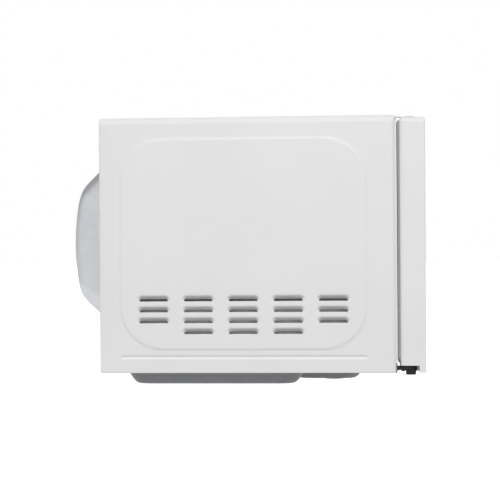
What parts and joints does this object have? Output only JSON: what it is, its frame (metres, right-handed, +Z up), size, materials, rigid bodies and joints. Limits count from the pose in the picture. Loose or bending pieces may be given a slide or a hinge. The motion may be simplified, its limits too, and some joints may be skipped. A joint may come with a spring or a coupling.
{
  "type": "microwave oven",
  "caption": "Countertop microwave oven: white steel case with louvred sides, left-hung door, turntable, rear bulge and push-button door release.",
  "frame": {"origin": "bottom centre of the bounding box, on the worktop under the oven", "axes": "+Z up, -Y towards the user (the door face), +X to the user's right (the control panel side)"},
  "size_m": [0.442, 0.3465, 0.259],
  "materials": {
    "white_steel": "satin white powder coat with a fine orange peel",
    "zinc_steel": "zinc-coated sheet, dull, slightly bluish",
    "cavity_enamel": "pale grey baked enamel, semi-gloss",
    "black_steel": "satin black",
    "screw_steel": "bright zinc plating",
    "white_plastic": "moulded ABS, soft gloss",
    "grey_plastic": "moulded, matt",
    "black_plastic": "moulded, fine grain",
    "dark_glass": "smoked, glossy",
    "clear_glass": "clear, glossy",
    "mica": "mica sheet, silky",
    "fin_aluminium": "bare sheet",
    "magnet_grey": "plain",
    "coil_copper": "varnished winding",
    "circuit_board": "solder-masked board",
    "foot_rubber": "matt"
  },
  "bodies": {
    "oven": {"air_duct": "black_plastic", "back_panel": "zinc_steel", "base_plate": "zinc_steel", "cabinet": "white_steel", "cabinet_screws": "screw_steel", "capacitor": "zinc_steel", "capacitor_clamp": "zinc_steel", "cavity_back": "cavity_enamel", "cavity_floor": "cavity_enamel", "cavity_thermostat": "screw_steel", "cavity_walls": "cavity_enamel", "control_board": "circuit_board", "control_panel": "white_plastic", "cord_gland": "black_plastic", "display_module": "black_plastic", "display_window": "dark_glass", "fan_motor": "magnet_grey", "fan_shroud": "black_plastic", "feet": "foot_rubber", "front_plate": "white_steel", "high_voltage_diode": "black_plastic", "interlock_frame": "white_plastic", "lamp_bulb": "clear_glass", "lamp_housing": "zinc_steel", "lower_hinge": "black_steel", "magnetron_filter_box": "zinc_steel", "magnetron_fins": "fin_aluminium", "magnetron_tube": "magnet_grey", "magnetron_yoke": "zinc_steel", "microswitches": "black_plastic", "noise_filter_board": "circuit_board", "transformer_coils": "coil_copper", "transformer_core": "zinc_steel", "turntable_motor": "screw_steel", "upper_hinge": "white_steel", "waveguide": "zinc_steel", "waveguide_cover": "mica"},
    "door": {"door_frame": "white_plastic", "door_window": "dark_glass", "door_inner_panel": "cavity_enamel", "door_screen": "black_steel", "door_choke_cover": "grey_plastic", "door_inner_window": "clear_glass", "latch_spring": "screw_steel"},
    "latch": {"door_latch": "white_plastic"},
    "lever": {"release_lever": "white_plastic"},
    "button": {"door_button": "white_plastic"},
    "turntable": {"drive_coupler": "grey_plastic", "glass_tray": "clear_glass"},
    "ring": {"roller_ring": "grey_plastic"},
    "wheel_1": {"roller_wheel_1": "grey_plastic"},
    "wheel_2": {"roller_wheel_2": "grey_plastic"},
    "wheel_3": {"roller_wheel_3": "grey_plastic"},
    "fan": {"fan_blade": "black_plastic"},
    "power_key_cap": {"power_key": "grey_plastic"},
    "timer_key_cap": {"timer_key": "grey_plastic"},
    "defrost_key_cap": {"defrost_key": "grey_plastic"},
    "clock_key_cap": {"clock_key": "grey_plastic"},
    "stop_key_cap": {"stop_key": "grey_plastic"},
    "start_key_cap": {"start_key": "grey_plastic"}
  },
  "joints": [
    {"name": "door_swing", "type": "hinge", "parent": "oven", "child": "door", "pos_m": [-0.212, -0.15865, 0.13525], "axis": [0, 0, -1], "range_deg": [0, 100]},
    {"name": "button_push", "type": "slide", "parent": "oven", "child": "button", "axis": [0, 1, 0], "range_m": [0, 0.006], "stiffness_N_per_m": 500},
    {"name": "lever_turn", "type": "hinge", "parent": "oven", "child": "lever", "pos_m": [0.1032, -0.13992, 0.0554], "axis": [1, 0, 0], "range_deg": [0, 26.6]},
    {"name": "latch_lift", "type": "slide", "parent": "door", "child": "latch", "axis": [0, 0, 1], "range_m": [0, 0.004], "stiffness_N_per_m": 200, "deforming": ["latch_spring"]},
    {"name": "turntable_spin", "type": "hinge", "parent": "oven", "child": "turntable", "pos_m": [-0.0565, -0.00885, 0.0439], "axis": [0, 0, 1], "continuous": true},
    {"name": "ring_roll", "type": "hinge", "parent": "oven", "child": "ring", "pos_m": [-0.0565, -0.00885, 0.0362], "axis": [0, 0, 1], "continuous": true},
    {"name": "wheel_1_roll", "type": "hinge", "parent": "ring", "child": "wheel_1", "pos_m": [0.0411, -0.00885, 0.0362], "axis": [1, 0, 0], "continuous": true},
    {"name": "wheel_2_roll", "type": "hinge", "parent": "ring", "child": "wheel_2", "pos_m": [-0.1053, 0.07567, 0.0362], "axis": [-0.5, 0.866, 0], "continuous": true},
    {"name": "wheel_3_roll", "type": "hinge", "parent": "ring", "child": "wheel_3", "pos_m": [-0.1053, -0.09337, 0.0362], "axis": [-0.5, -0.866, 0], "continuous": true},
    {"name": "fan_spin", "type": "hinge", "parent": "oven", "child": "fan", "pos_m": [0.1592, 0.12375, 0.098], "axis": [0, 1, 0], "continuous": true},
    {"name": "power_key_press", "type": "slide", "parent": "oven", "child": "power_key_cap", "axis": [0, 1, 0], "range_m": [0, 0.001], "stiffness_N_per_m": 900},
    {"name": "timer_key_press", "type": "slide", "parent": "oven", "child": "timer_key_cap", "axis": [0, 1, 0], "range_m": [0, 0.001], "stiffness_N_per_m": 900},
    {"name": "defrost_key_press", "type": "slide", "parent": "oven", "child": "defrost_key_cap", "axis": [0, 1, 0], "range_m": [0, 0.001], "stiffness_N_per_m": 900},
    {"name": "clock_key_press", "type": "slide", "parent": "oven", "child": "clock_key_cap", "axis": [0, 1, 0], "range_m": [0, 0.001], "stiffness_N_per_m": 900},
    {"name": "stop_key_press", "type": "slide", "parent": "oven", "child": "stop_key_cap", "axis": [0, 1, 0], "range_m": [0, 0.001], "stiffness_N_per_m": 900},
    {"name": "start_key_press", "type": "slide", "parent": "oven", "child": "start_key_cap", "axis": [0, 1, 0], "range_m": [0, 0.001], "stiffness_N_per_m": 900}
  ],
  "couplings": [
    {"joint": "lever_turn", "follows": "button_push", "rad_per_m": 76.923},
    {"joint": "latch_lift", "follows": "button_push", "ratio": 0.66667},
    {"joint": "ring_roll", "follows": "turntable_spin", "ratio": 0.5},
    {"joint": "wheel_1_roll", "follows": "turntable_spin", "ratio": -6.5067},
    {"joint": "wheel_2_roll", "follows": "turntable_spin", "ratio": -6.5067},
    {"joint": "wheel_3_roll", "follows": "turntable_spin", "ratio": -6.5067}
  ]
}
